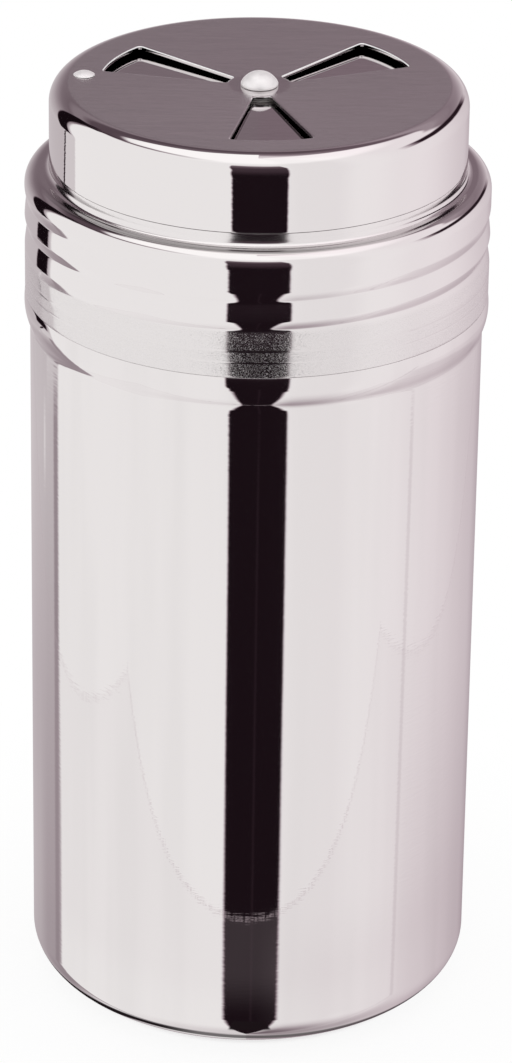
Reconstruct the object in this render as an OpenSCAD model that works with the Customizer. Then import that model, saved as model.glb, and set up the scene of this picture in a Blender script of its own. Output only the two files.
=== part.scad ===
/* [Canister] */
// Outside diameter of the straight wall
body_d = 65; // [58:0.5:72]
// Height of the straight wall, from the resting face to the groove under the lid
body_h = 104.4; // [90:0.2:120]
// Sheet thickness of the canister
wall = 0.6; // [0.5:0.05:0.8]
// Outside radius of the corner round the base
base_corner_r = 6.9; // [5:0.1:9]
// Width of the flat ring that the canister stands on
base_land = 4.6; // [3:0.1:6]
// Height of the shallow dish pressed up into the base
base_dish_h = 1.2; // [0.8:0.1:2]
// Width of the slope round that dish
base_slope = 3; // [2:0.1:4]
// How far the groove under the lid lies inside the wall
groove_depth = 0.45; // [0.3:0.05:0.6]
// How far the stop bead under the lid stands out from the wall
bead_proud = 0.8; // [0.6:0.05:1]
// Height of the groove and the stop bead together
bead_h = 4.8; // [4.6:0.1:5.6]
// Radius of the curve from the stop bead down into the groove
bead_curve_r = 1.9; // [1.5:0.1:2.1]
// Radius of the stop bead's upper corner
bead_corner_r = 0.4; // [0.2:0.05:0.5]

/* [Neck] */
// Radial room between the neck and the lid's skirt, for the rolled threads
neck_room = 1.5; // [1.4:0.05:1.7]
// Height of the neck, from the stop bead to the rim
neck_h = 16.1; // [15.6:0.1:18]
// Radius of the curl that closes the rim
curl_r = 0.65; // [0.5:0.05:0.75]

/* [Screw thread] */
// Rise of the right-hand thread in one turn
pitch = 4.2; // [3.8:0.1:4.6]
// Depth of the groove rolled into the lid
roll_depth = 0.6; // [0.4:0.05:0.65]
// Width of a rolled thread where it leaves the wall
roll_w = 2.4; // [2:0.1:2.8]
// Radial clearance between the neck's thread and the lid's wall
thread_gap = 0.25; // [0.2:0.05:0.4]
// Height of the lid's thread above the skirt's edge, in front
thread_rise = 11.4; // [10.8:0.1:11.8]
// Turns of thread on the lid
lid_turns = 2.1; // [1.5:0.05:2.2]
// Turns of thread on the neck
neck_turns = 2.4; // [1.5:0.05:2.5]

/* [Lid] */
// How far the skirt lies inside the stop bead's edge
lid_inset = 0.1; // [0.1:0.05:0.4]
// Sheet thickness of the lid
lid_wall = 0.6; // [0.5:0.05:0.7]
// Gap between the skirt's lower edge and the stop bead
skirt_gap = 0.2; // [0.1:0.05:0.3]
// Outside radius of the shoulder's corner
shoulder_r = 2.1; // [1.5:0.1:2.4]
// Radius of the fillet from the shoulder up to the neck
fillet_r = 0.9; // [0.6:0.1:1]
// Height of the ledge that the dial's rim turns on, above the shoulder
ledge_h = 1.75; // [1.6:0.05:2]

/* [Gasket] */
// Thickness of the gasket between the rim and the lid's shoulder
gasket_t = 1.5; // [1:0.05:2]
// Width of the gasket's ring
gasket_w = 1.9; // [1.5:0.1:2.2]

/* [Dial] */
// How far the dial's wall lies inside the skirt's
dial_step = 3.5; // [3.4:0.05:4.2]
// Height of the dial cap
dial_h = 11; // [10:0.1:12]
// Sheet thickness of the dial cap
dial_wall = 0.5; // [0.4:0.05:0.6]
// Outside radius of the dial cap's corner
dial_corner_r = 2.85; // [2.2:0.05:3.2]
// How far the middle of the dial's flat top is drawn down by the rivet
dial_dip = 0.4; // [0.1:0.05:0.5]
// Running gap between the dial cap and the lid
dial_gap = 0.25; // [0.15:0.05:0.3]

/* [Fan openings] */
// Number of fan-shaped openings
fan_count = 3; // [2:1:3]
// Angle that each opening spans
fan_angle = 30; // [20:1:32]
// Width of sheet between the spacer and the openings' inner ends
fan_land = 0.7; // [0.5:0.1:3]
// Width of the flat ring outside the openings
fan_margin = 4.25; // [4:0.05:8]
// Corner radius of the openings
fan_corner_r = 0.5; // [0.2:0.05:0.6]
// Bearing of the first opening of the dial when it is closed
fan_bearing = -85.3; // [-90:0.1:-60]
// Turn of the dial from closed to open
open_turn = 60; // [45:1:60]

/* [Pivot rivet] */
// Diameter of the rivet's domed head
head_d = 5.3; // [4.6:0.1:5.8]
// Height of the straight edge round the head
head_edge = 0.35; // [0.2:0.05:0.5]
// Height of the dome above that edge
head_dome = 1.65; // [1:0.05:2]
// Diameter of the shank
shank_d = 3; // [2.6:0.1:3.2]
// Running clearance round the shank
shank_gap = 0.05; // [0.03:0.01:0.08]
// How far the peened tail spreads past the shank
tail_proud = 1; // [0.6:0.1:1.2]
// Height of the peened tail
tail_h = 0.9; // [0.6:0.1:1.2]
// Width of the bevel round the tail
tail_bevel = 0.4; // [0.2:0.1:0.5]

/* [Washers] */
// Thickness of the spacer between the dial and the lid
spacer_t = 0.25; // [0.2:0.05:0.4]
// Diameter of the spacer
spacer_d = 8; // [7:0.1:8.6]
// Width of sheet between the spring washer and the openings' inner ends
spring_land = 0.2; // [0.1:0.05:0.4]
// Thickness of the dished spring washer
spring_t = 0.4; // [0.3:0.05:0.5]
// Height that the spring washer's dish adds
spring_dish = 0.5; // [0.3:0.05:0.7]
// Clearance of the spring washer round the shank
spring_gap = 0.15; // [0.1:0.05:0.3]
// Diameter of the backing washer
backing_d = 7; // [6:0.1:8]
// Thickness of the backing washer
backing_t = 0.6; // [0.5:0.05:0.8]

/* [Thumb stud] */
// Distance of the stud's middle from the edge of the dial's flat top
stud_inset = 1.95; // [1.9:0.05:2.2]
// Bearing of the stud when the dial is closed
stud_bearing = 175; // [165:1:195]
// Diameter of the stud's head
stud_d = 3.1; // [2.4:0.1:3.4]
// Height of the stud's low dome
stud_dome = 0.55; // [0.4:0.05:0.8]
// Diameter of the stem that travels in the lid's arc slot
stem_d = 1.4; // [1.2:0.1:1.5]
// How far the stem reaches below the fixed plate
stem_proud = 0.45; // [0.3:0.05:1]
// Clearance of the stem in the slot
slot_gap = 0.2; // [0.15:0.05:0.25]

/* [Hidden] */
$fn = 96;

// Clear distance between faces that rest on each other
seat = 0.05;
// How far a cutter runs past the faces that it cuts
over = 1;
// Gap between the dial's rim and the lid's ledge
rim_gap = 0.15;
// How far the ledge's edge lies inside the dial's wall
ledge_inset = 0.1;
// Steps of the arcs in the revolved outlines
arc_steps = 8;
// Sections of the rolled threads in one turn
thread_steps = 48;
// Angle over which a thread runs out at each end
run_out = 45;
// Depth by which a thread's root is sunk into its wall
root = 0.25;
// Facets of the small round pieces
small_fn = 32;

// Canister levels and radii
body_r = body_d / 2;
bead_r = body_r + bead_proud;
groove_r = body_r - groove_depth;
bead_top = body_h + bead_h;
rim_z = bead_top + neck_h;

// Lid levels and radii
lid_r = bead_r - lid_inset;
lid_in_r = lid_r - lid_wall;
neck_r = lid_in_r - neck_room;
lid_z = bead_top + skirt_gap;
gasket_z = rim_z + seat;
shoulder_z = gasket_z + gasket_t + seat + lid_wall;
ledge_z = shoulder_z + ledge_h;

// Dial levels and radii
dial_r = lid_r - dial_step;
dial_z = ledge_z + rim_gap;
dial_top = dial_z + dial_h;
dial_flat_r = dial_r - dial_corner_r;
lid_neck_r = dial_r - dial_wall - dial_gap;
lid_neck_corner_r = dial_corner_r - dial_wall - rim_gap;
pivot_z = dial_top - dial_dip;
plate_top = pivot_z - dial_wall - seat - spacer_t - seat;
plate_z = plate_top - lid_wall;

// Threads: crest of the neck's thread, and the height and upper end of each helix
neck_crest_r = lid_in_r - thread_gap;
front = -90;
lid_helix_z = lid_z + thread_rise;
lid_helix_end = 316;
neck_helix_z = lid_helix_z - pitch / 2;
neck_helix_end = 284;

// Radii of the fan openings' ends
fan_r_in = spacer_d / 2 + fan_land;
fan_r_out = dial_flat_r - fan_margin;

// Stack on the rivet's shank under the fixed plate
shank_hole_d = shank_d + 2 * shank_gap;
spring_top = plate_z - seat;
backing_top = spring_top - spring_dish - spring_t - seat;
tail_top = backing_top - backing_t - seat;

// Distance of the stud from the middle of the dial
stud_reach = dial_flat_r - stud_inset;

// Points of an arc of radius r about [x, y], from angle a0 to a1
function arc(x, y, r, a0, a1, n = arc_steps) =
    [for (i = [0 : n]) let (a = a0 + (a1 - a0) * i / n) [x + r * cos(a), y + r * sin(a)]];

// Radius of the sphere whose cap has width d and height h
function cap_sphere_r(d, h) = (d * d / 4 + h * h) / (2 * h);

// Share of the full depth that a thread of the given angular length has at share t of it
function run(t, length) =
    let (edge = min(t, 1 - t) * length / run_out)
    edge >= 1 ? 1 : 0.04 + 0.96 * sin(90 * edge);

// Rolled thread: a section of width w and depth d, outward from radius r where d is positive.
// It climbs by one pitch a turn, passes the front at height z, and ends at the bearing given.
module thread(r, d, w, z, end, turns) {
    steps = ceil(turns * thread_steps);
    length = turns * 360;
    out = sign(d);
    section = [[0, -w / 2], [1, -w / 6], [1, w / 6], [0, w / 2]];
    n = len(section);
    points = [
        for (i = [0 : steps], p = section)
            let (
                a = end - length + i / steps * length,
                x = r + (p[0] == 1 ? d * run(i / steps, length) : -out * root)
            )
            [x * cos(a + front), x * sin(a + front), z + pitch * a / 360 + out * p[1]]
    ];
    sides = [
        for (i = [0 : steps - 1], j = [0 : n - 1])
            let (k = (j + 1) % n)
            each [[i * n + j, i * n + k, i * n + n + k], [i * n + j, i * n + n + k, i * n + n + j]]
    ];
    ends = [[for (j = [0 : n - 1]) n - 1 - j], [for (j = [0 : n - 1]) steps * n + j]];
    polyhedron(points, concat(sides, ends));
}

// Outline of one fan opening about +X, with round corners
function fan_outline() =
    let (
        half = fan_angle / 2,
        rc = fan_corner_r,
        outer = half - asin(rc / (fan_r_out - rc)),
        inner = half - asin(rc / (fan_r_in + rc)),
        xo = fan_r_out - rc,
        xi = fan_r_in + rc
    )
    concat(
        arc(0, 0, fan_r_out, -outer, outer, 12),
        arc(xo * cos(outer), xo * sin(outer), rc, outer, half + 90),
        arc(xi * cos(inner), xi * sin(inner), rc, half + 90, inner + 180),
        arc(0, 0, fan_r_in, inner, -inner, 4),
        arc(xi * cos(inner), -xi * sin(inner), rc, 180 - inner, 270 - half),
        arc(xo * cos(outer), -xo * sin(outer), rc, -half - 90, -outer)
    );

// The fan openings as solid cutters from z up by h, turned to the bearing given
module fans(z, h, bearing) {
    for (i = [0 : fan_count - 1])
        translate([0, 0, z])
            rotate([0, 0, bearing + i * 360 / fan_count])
                linear_extrude(h)
                    polygon(fan_outline());
}

// Sheet shell of the canister: dished base, wall, groove, stop bead and neck, up to the rim
module canister_shell() {
    corner_x = body_r - base_corner_r;
    dish_r = corner_x - base_land;
    groove_z = body_h + 2 * groove_depth;
    groove_land = 0.3;
    groove_angle = 62;
    curve_x = bead_r - bead_curve_r;
    curve_z = groove_z + groove_land + bead_curve_r * sin(groove_angle);
    top_r = 2 * groove_depth;
    outside = concat(
        [[0, base_dish_h], [dish_r - base_slope, base_dish_h], [dish_r, 0]],
        arc(corner_x, base_corner_r, base_corner_r, -90, 0),
        arc(body_r - top_r, body_h, top_r, 0, 60, 4),
        [[groove_r, groove_z]],
        arc(curve_x, curve_z, bead_curve_r, -groove_angle, 0),
        arc(bead_r - bead_corner_r, bead_top - bead_corner_r, bead_corner_r, 0, 90, 4),
        [[neck_r, bead_top], [neck_r, rim_z - curl_r]]
    );
    inside = concat(
        [[neck_r - wall, rim_z - curl_r], [neck_r - wall, bead_top - wall]],
        arc(curve_x, curve_z, bead_curve_r - wall, 0, -groove_angle, 4),
        [[groove_r - wall, groove_z]],
        arc(body_r - top_r, body_h, top_r - wall, 60, 0, 2),
        arc(corner_x, base_corner_r, base_corner_r - wall, 0, -90),
        [[dish_r, wall], [dish_r - base_slope, base_dish_h + wall], [0, base_dish_h + wall]]
    );
    rotate_extrude() polygon(concat(outside, inside));
}

// Canister: the sheet shell with its curled rim and the thread rolled out of its neck
module canister() {
    crest = neck_crest_r - neck_r;
    color("silver")
        difference() {
            union() {
                canister_shell();
                translate([0, 0, rim_z - curl_r])
                    rotate_extrude()
                        translate([neck_r, 0])
                            circle(curl_r, $fn = small_fn);
                thread(neck_r, crest, roll_w, neck_helix_z, neck_helix_end, neck_turns);
            }
            thread(neck_r - wall, crest, roll_w - wall, neck_helix_z, neck_helix_end, neck_turns);
        }
}

// Ring between the rim and the lid's shoulder, bevelled to clear the shoulder's corner
module lid_gasket() {
    outer_r = neck_r + curl_r - seat;
    inner_r = outer_r - gasket_w;
    flat_r = min(outer_r, lid_r - shoulder_r);
    top_z = gasket_z + gasket_t;
    color("ivory")
        rotate_extrude()
            polygon([
                [inner_r, gasket_z],
                [outer_r, gasket_z],
                [outer_r, gasket_z + gasket_t / 3],
                [flat_r, top_z],
                [inner_r, top_z]
            ]);
}

// Sheet shell of the lid: skirt, shoulder, ledge, neck and the fixed plate
module lid_shell() {
    ledge_r = dial_r - ledge_inset;
    corner_x = lid_neck_r - lid_neck_corner_r;
    corner_z = plate_top - lid_neck_corner_r;
    outside = concat(
        [[lid_r, lid_z]],
        arc(lid_r - shoulder_r, shoulder_z - shoulder_r, shoulder_r, 0, 90),
        arc(ledge_r + fillet_r, shoulder_z + fillet_r, fillet_r, 270, 180),
        [[ledge_r, ledge_z], [lid_neck_r, ledge_z]],
        arc(corner_x, corner_z, lid_neck_corner_r, 0, 90),
        [[0, plate_top]]
    );
    inside = concat(
        [[0, plate_z]],
        arc(corner_x, corner_z, lid_neck_corner_r - lid_wall, 90, 0),
        [[lid_neck_r - lid_wall, ledge_z - lid_wall], [ledge_r - lid_wall, ledge_z - lid_wall]],
        arc(ledge_r + fillet_r, shoulder_z + fillet_r, fillet_r + lid_wall, 180, 270),
        arc(lid_r - shoulder_r, shoulder_z - shoulder_r, shoulder_r - lid_wall, 90, 0),
        [[lid_in_r, lid_z]]
    );
    rotate_extrude() polygon(concat(outside, inside));
}

// Arc slot in the fixed plate, in which the stud's stem travels from closed to open
module stud_slot() {
    slot_r = stem_d / 2 + slot_gap;
    slot_h = lid_wall + 2 * over;
    translate([0, 0, plate_z - over])
        rotate([0, 0, stud_bearing]) {
            rotate_extrude(angle = open_turn)
                translate([stud_reach - slot_r, 0])
                    square([2 * slot_r, slot_h]);
            for (a = [0, open_turn])
                rotate([0, 0, a])
                    translate([stud_reach, 0, 0])
                        cylinder(h = slot_h, r = slot_r, $fn = small_fn);
        }
}

// Lid: the sheet shell with its rolled thread, its fan openings, the rivet's hole and the slot
module screw_lid() {
    color("silver")
        difference() {
            union() {
                lid_shell();
                thread(lid_in_r, -roll_depth, roll_w, lid_helix_z, lid_helix_end, lid_turns);
            }
            thread(lid_r, -roll_depth, roll_w - lid_wall, lid_helix_z, lid_helix_end, lid_turns);
            fans(plate_z - over, lid_wall + 2 * over, fan_bearing + open_turn);
            translate([0, 0, plate_z - over]) cylinder(h = lid_wall + 2 * over, d = shank_hole_d);
            stud_slot();
        }
}

// Thin washer that holds the dial off the fixed plate
module spacer_washer() {
    color("white")
        difference() {
            translate([0, 0, plate_top + seat]) cylinder(h = spacer_t, d = spacer_d);
            translate([0, 0, plate_top]) cylinder(h = spacer_t + over, d = shank_hole_d);
        }
}

// Drawn cap that turns on the lid and opens or closes the fan openings
module dial_cap() {
    dip_r = spacer_d / 2;
    corner_z = dial_top - dial_corner_r;
    cut_z = pivot_z - dial_wall - over;
    outside = concat(
        [[0, pivot_z], [dip_r, pivot_z]],
        arc(dial_flat_r, corner_z, dial_corner_r, 90, 0),
        [[dial_r, dial_z]]
    );
    inside = concat(
        [[dial_r - dial_wall, dial_z]],
        arc(dial_flat_r, corner_z, dial_corner_r - dial_wall, 0, 90),
        [[dip_r, pivot_z - dial_wall], [0, pivot_z - dial_wall]]
    );
    color("gainsboro")
        difference() {
            rotate_extrude() polygon(concat(outside, inside));
            fans(cut_z, dial_wall + dial_dip + 2 * over, fan_bearing);
            translate([0, 0, cut_z]) cylinder(h = dial_wall + 2 * over, d = shank_hole_d);
            rotate([0, 0, stud_bearing])
                translate([stud_reach, 0, cut_z])
                    cylinder(h = dial_wall + dial_dip + 2 * over, d = stem_d + 2 * seat, $fn = small_fn);
        }
}

// Rivet: domed head, shank through both plates and a peened tail
module pivot_rivet() {
    head_z = pivot_z + seat;
    dome_z = head_z + head_edge;
    dome_r = cap_sphere_r(head_d, head_dome);
    tail_d = shank_d + 2 * tail_proud;
    tail_z = tail_top - tail_h;
    color("whitesmoke")
        union() {
            translate([0, 0, head_z]) cylinder(h = head_edge, d = head_d);
            intersection() {
                translate([0, 0, dome_z + head_dome - dome_r]) sphere(r = dome_r);
                translate([0, 0, dome_z]) cylinder(h = head_dome + over, d = head_d);
            }
            translate([0, 0, tail_z]) cylinder(h = head_z - tail_z, d = shank_d);
            translate([0, 0, tail_z]) cylinder(h = tail_h, d1 = tail_d - 2 * tail_bevel, d2 = tail_d);
        }
}

// Dished washer under the fixed plate, which keeps the dial drawn down
module spring_washer() {
    hole_r = shank_d / 2 + spring_gap;
    edge_r = fan_r_in - spring_land;
    color("darkgray")
        rotate_extrude()
            polygon([
                [hole_r, spring_top - spring_dish - spring_t],
                [edge_r, spring_top - spring_t],
                [edge_r, spring_top],
                [hole_r, spring_top - spring_dish]
            ]);
}

// Flat washer between the spring washer and the rivet's tail
module backing_washer() {
    foot = backing_top - backing_t;
    color("lightgray")
        difference() {
            translate([0, 0, foot]) cylinder(h = backing_t, d = backing_d);
            translate([0, 0, foot - over]) cylinder(h = backing_t + 2 * over, d = shank_hole_d);
        }
}

// Stud on the dial: a low dome for the thumb, and a stem that stops at the slot's ends
module thumb_stud() {
    dome_r = cap_sphere_r(stud_d, stud_dome);
    stem_z = plate_z - stem_proud;
    color("whitesmoke")
        rotate([0, 0, stud_bearing])
            translate([stud_reach, 0, 0]) {
                intersection() {
                    translate([0, 0, dial_top + stud_dome - dome_r]) sphere(r = dome_r);
                    translate([0, 0, dial_top]) cylinder(h = stud_dome + over, d = stud_d, $fn = small_fn);
                }
                translate([0, 0, stem_z])
                    cylinder(h = dial_top + stud_dome / 2 - stem_z, d = stem_d, $fn = small_fn);
            }
}

canister();
lid_gasket();
screw_lid();
spacer_washer();
dial_cap();
pivot_rivet();
spring_washer();
backing_washer();
thumb_stud();
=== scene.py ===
import math

import bmesh
import bpy
import numpy as np
from bpy.props import FloatProperty, FloatVectorProperty, PointerProperty
from mathutils import Matrix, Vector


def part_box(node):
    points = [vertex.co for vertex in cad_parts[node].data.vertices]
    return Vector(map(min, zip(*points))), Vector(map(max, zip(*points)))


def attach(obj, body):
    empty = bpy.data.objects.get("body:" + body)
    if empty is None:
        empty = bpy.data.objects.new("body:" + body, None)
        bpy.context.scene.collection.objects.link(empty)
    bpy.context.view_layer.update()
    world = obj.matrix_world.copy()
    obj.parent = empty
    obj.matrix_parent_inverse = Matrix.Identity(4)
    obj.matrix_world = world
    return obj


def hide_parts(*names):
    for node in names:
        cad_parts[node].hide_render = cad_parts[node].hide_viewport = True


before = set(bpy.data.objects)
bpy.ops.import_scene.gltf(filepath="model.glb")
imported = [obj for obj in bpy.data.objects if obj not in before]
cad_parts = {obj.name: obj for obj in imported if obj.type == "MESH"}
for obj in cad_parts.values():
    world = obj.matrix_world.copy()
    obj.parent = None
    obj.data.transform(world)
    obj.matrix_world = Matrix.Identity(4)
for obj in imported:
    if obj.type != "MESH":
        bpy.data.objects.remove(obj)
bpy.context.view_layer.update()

bl_info = {
    "name": "Seasoning Shaker",
    "version": (1, 0, 0),
    "blender": (4, 5, 0),
    "location": "3D View > Sidebar > Shaker",
    "description": "Builds a steel seasoning shaker with a screw lid and a riveted dial",
    "category": "Add Mesh",
}

MM = 0.001
CAN_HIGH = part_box("canister")[1]
LID_LOW, LID_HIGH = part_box("screw_lid")
DIAL_LOW, DIAL_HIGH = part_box("dial_cap")
RIVET_LOW, RIVET_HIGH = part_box("pivot_rivet")
STUD_LOW, STUD_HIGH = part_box("thumb_stud")

# Lengths are in millimetres and angles in degrees. A bearing is counted from +X towards +Y.
COLUMNS = 240                       # points round a turned piece
SPANS = 3                           # fan-shaped openings in the dial, and in the plate
FIRST_BEARING = -85.3               # of the dial's front opening when the dial is closed
OPEN_TURN = 60.0                    # of the dial, from closed to open
FAN = (4.7, 22.6, 15.0, 0.5)        # an opening's radii, half angle and corner radius
FAN_COLUMNS = (80, 28, 16)          # points along its outer arc, a side and its inner arc
SHANK_HOLE = 1.55                   # radius of the hole that the rivet's shank goes through
STUD_RADIUS, STUD_BEARING = 24.9, 175.0
MERGE = 0.002                       # points closer than this are one point


# ---------------------------------------------------------------- outlines

def oval(x, z, across, up, start, end, steps):
    """Points of an ellipse round (x, z) with half axes across and up, at even angles from start to
    end in degrees."""
    angle = np.radians(np.linspace(start, end, steps + 1))
    return np.stack([x + across * np.cos(angle), z + up * np.sin(angle)], axis=1)


def arc(x, z, radius, start, end, steps):
    """Points at distance radius from (x, z), at even angles from start to end in degrees."""
    return oval(x, z, radius, radius, start, end, steps)


def bend(start, heading, radius, turn, steps):
    """Points of a round bend that leaves start at the heading and turns by turn degrees, to the
    left if positive. Its centre lies radius to that side of the start."""
    side = math.copysign(90.0, turn)
    x = start[0] + radius * math.cos(math.radians(heading + side))
    z = start[1] + radius * math.sin(math.radians(heading + side))
    return arc(x, z, radius, heading - side, heading - side + turn, steps)


def chain(parts, reach=0.12, longest=8.0):
    """One line through all parts. A long straight stretch gets a point close to each of its ends,
    so that shading stays flat along it, and even points between."""
    points = np.concatenate([np.asarray(part, float).reshape(-1, 2) for part in parts])
    line = [points[:1]]
    for start, end in zip(points[:-1], points[1:]):
        length = float(np.hypot(*(end - start)))
        if length < 1e-6:
            continue
        share = np.array([1.0])
        if length > 4 * reach:
            inner = max(2, int(np.ceil(length / longest)) + 1)
            share = np.append(np.linspace(reach / length, 1 - reach / length, inner), 1.0)
        line.append(start + share[:, None] * (end - start))
    return np.concatenate(line)


def dense(x, start, end, step):
    """Points straight up or down at radius x, about one step apart."""
    z = np.linspace(start, end, int(abs(end - start) / step) + 1)
    return np.stack([np.full_like(z, x), z], axis=1)


def edge_round(outer, inner, level, radius, steps=4):
    """Rounded lower edge of a sheet, from its inner face at radius inner to its outer face."""
    return np.concatenate([
        arc(inner + radius, level + radius, radius, 180, 270, steps),
        arc(outer - radius, level + radius, radius, 270, 360, steps),
    ])


def ball_of(half, rise):
    """Radius of the ball whose cap is 2 half wide and rise high, and the cap's slope at its rim."""
    ball = (half ** 2 + rise ** 2) / (2 * rise)
    return ball, math.degrees(math.asin(half / ball))


# ---------------------------------------------------------------- surfaces

def grid_faces(rows, columns, closed=True):
    """Corner numbers of the squares of a grid whose points are counted row by row. In a closed
    grid, the last column joins the first."""
    i = np.arange(rows - 1)[:, None] * columns
    j = np.arange(columns if closed else columns - 1)[None, :]
    k = (j + 1) % columns
    corners = [i + j, i + k, i + columns + k, i + columns + j]
    return np.stack(np.broadcast_arrays(*corners), axis=-1).reshape(-1, 4)


def revolve(profile, columns=COLUMNS, first=FIRST_BEARING, change=None):
    """Point (r, z) of the profile at bearing b is (r cos b, r sin b, z). The change, if given,
    is what each point's radius grows by, from its radius, height and bearing."""
    bearing = np.radians(first + np.arange(columns) * 360 / columns)[None, :]
    r = np.repeat(profile[:, :1], columns, axis=1)
    z = np.repeat(profile[:, 1:], columns, axis=1)
    b = np.broadcast_to(bearing, r.shape)
    if change is not None:
        r = r + change(r, z, np.degrees(b))
    return np.stack([r * np.cos(b), r * np.sin(b), z], axis=-1)


def rolled_thread(z, bearing, level, pitch, first, last, section, top_share=1.0, run_out=45.0):
    """Share of a rolled thread's depth at each height and bearing. The thread's line climbs by one
    pitch a turn and passes the front at level. The section gives the share at a height above that
    line. Along it the share goes evenly from 1 to the top share, and fades out at both ends over
    the run-out angle."""
    front = bearing + 90.0
    share = np.zeros_like(z)
    for turn in range(int(first // 360) - 1, int(last // 360) + 2):
        angle = np.mod(front, 360) + 360 * turn
        fade = np.sin(np.pi / 2 * np.clip(np.minimum(angle - first, last - angle) / run_out, 0, 1))
        fade = fade * (1 - (1 - top_share) * (angle - first) / (last - first))
        here = section(z - level - pitch * angle / 360) * fade
        share = np.maximum(share, here)
    return share


def valley(rise, above=1.4, below=2.75, tip=0.14):
    """Section of the groove rolled into the skirt: a narrow valley, steep above its line and
    sloping out slowly below it, with a tip of small radius."""
    away = np.hypot(rise, tip) - tip
    steep = np.clip(1 - away / above, 0, 1) ** 1.5
    slow = np.clip(1 - away / below, 0, 1) ** 1.2
    return np.where(rise > 0, steep, slow)


def hump(rise, width=3.0):
    """Section of the thread rolled out of the neck: a squared cosine."""
    across = np.clip(rise / (width / 2), -1, 1)
    return np.cos(np.pi / 2 * across) ** 2


def window(size, spread, side, end, corner):
    """Closed outline of a window with two radial sides, two arcs round the axis and round corners,
    grown outwards by spread. Its size is (inner radius, outer radius, half angle, corner radius).
    It starts in the middle of a corner, runs along the outer arc, the side at the larger bearing,
    the inner arc and the other side. Side, end and corner count the points along each."""
    r_in, r_out, half, radius = size
    out_r, in_r = r_out - radius, r_in + radius
    out_a = half - math.degrees(math.asin(radius / out_r))
    in_a = half - math.degrees(math.asin(radius / in_r))

    def turn(distance, bearing, start, stop):
        """One round corner, whose centre is at a distance and bearing."""
        x, y = distance * math.cos(math.radians(bearing)), distance * math.sin(math.radians(bearing))
        return arc(x, y, radius + spread, start, stop, corner)

    c1 = turn(out_r, -out_a, -half - 90, -out_a)
    c2 = turn(out_r, out_a, out_a, half + 90)
    c3 = turn(in_r, in_a, half + 90, in_a + 180)
    c4 = turn(in_r, -in_a, 180 - in_a, 270 - half)
    share = np.linspace(0, 1, max(side, 0) + 2)[1:-1, None]
    m = corner // 2
    shared = 1 if side < 0 else 0
    parts = [
        c1[m:], arc(0, 0, r_out + spread, -out_a, out_a, end[0])[1:-1], c2,
        c2[-1] + share * (c3[0] - c2[-1]), c3[shared:],
        arc(0, 0, r_in - spread, in_a, -in_a, end[1])[1:-1], c4,
        c4[-1] + share * (c1[0] - c4[-1]), c1[shared:m],
    ]
    return np.concatenate(parts)


def pierced(size, at, lane, cap, thickness, columns, roll, rings=10, burr=0.05):
    """Top face, cut edge and bottom face of a sheet round one window, within the lane, which is
    (inner radius, outer radius, first bearing, last bearing). Along the window run the points of
    its outline. Across it, they move from the lane's edge to the window in polar coordinates,
    down the stamped edge, and back along the underside. That edge is a quarter of an ellipse, as
    wide as roll and half as deep, then straight, then a small quarter circle. The cap gives the
    height at a radius."""
    outer_n, side_n, inner_n = columns
    corner = 8
    side, end = side_n - corner - 1, (outer_n - corner, inner_n - corner)

    def outline(spread):
        """The window's outline, turned to its bearing."""
        line = window(size, spread, side, end, corner)
        a = np.radians(at)
        return line @ np.array([[np.cos(a), np.sin(a)], [-np.sin(a), np.cos(a)]])

    edge = outline(roll)
    edge_r = np.hypot(edge[:, 0], edge[:, 1])
    middle = math.radians((lane[2] + lane[3]) / 2)
    edge_b = np.arctan2(edge[:, 1], edge[:, 0])
    edge_b = middle + np.mod(edge_b - middle + np.pi, 2 * np.pi) - np.pi
    b0, b1 = math.radians(lane[2]), math.radians(lane[3])
    goal_b = np.concatenate([
        np.linspace(b0, b1, outer_n + 1)[:-1], np.full(side_n, b1),
        np.linspace(b1, b0, inner_n + 1)[:-1], np.full(side_n, b0),
    ])
    goal_r = np.concatenate([
        np.full(outer_n, lane[1]), np.linspace(lane[1], lane[0], side_n + 1)[:-1],
        np.full(inner_n, lane[0]), np.linspace(lane[0], lane[1], side_n + 1)[:-1],
    ])
    share = (np.linspace(1, 0, rings + 1) ** 2)[:, None]
    r = edge_r + share * (goal_r - edge_r)
    b = edge_b + share * (goal_b - edge_b)
    sheet = np.stack([r * np.cos(b), r * np.sin(b), cap(r)], axis=-1)
    over, under = np.radians([15, 35, 55, 75, 90]), np.radians([90, 60, 30])
    spreads = np.concatenate([roll * (1 - np.sin(over)), burr * (1 - np.sin(under)), [roll]])
    drops = np.concatenate([roll / 2 * (1 - np.cos(over)), thickness - burr * (1 - np.cos(under)),
                            [thickness]])
    walls = []
    for spread, drop in zip(spreads, drops):
        line = outline(spread)
        walls.append(np.column_stack([line, cap(np.hypot(line[:, 0], line[:, 1])) - drop]))
    below = sheet[::-1].copy()
    below[..., 2] -= thickness
    return np.concatenate([sheet, np.array(walls), below[1:]])


def lane_sheet(lane, cap, thickness, columns, rings=8):
    """Top and bottom face of a plain stretch of sheet between two radii and two bearings."""
    b = np.radians(np.linspace(lane[2], lane[3], columns + 1))[None, :]
    r = np.linspace(lane[1], lane[0], rings + 1)[:, None]
    top = np.stack([r * np.cos(b), r * np.sin(b), cap(r) + 0 * b], axis=-1)
    under = top[::-1].copy()
    under[..., 2] -= thickness
    return top, under


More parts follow.
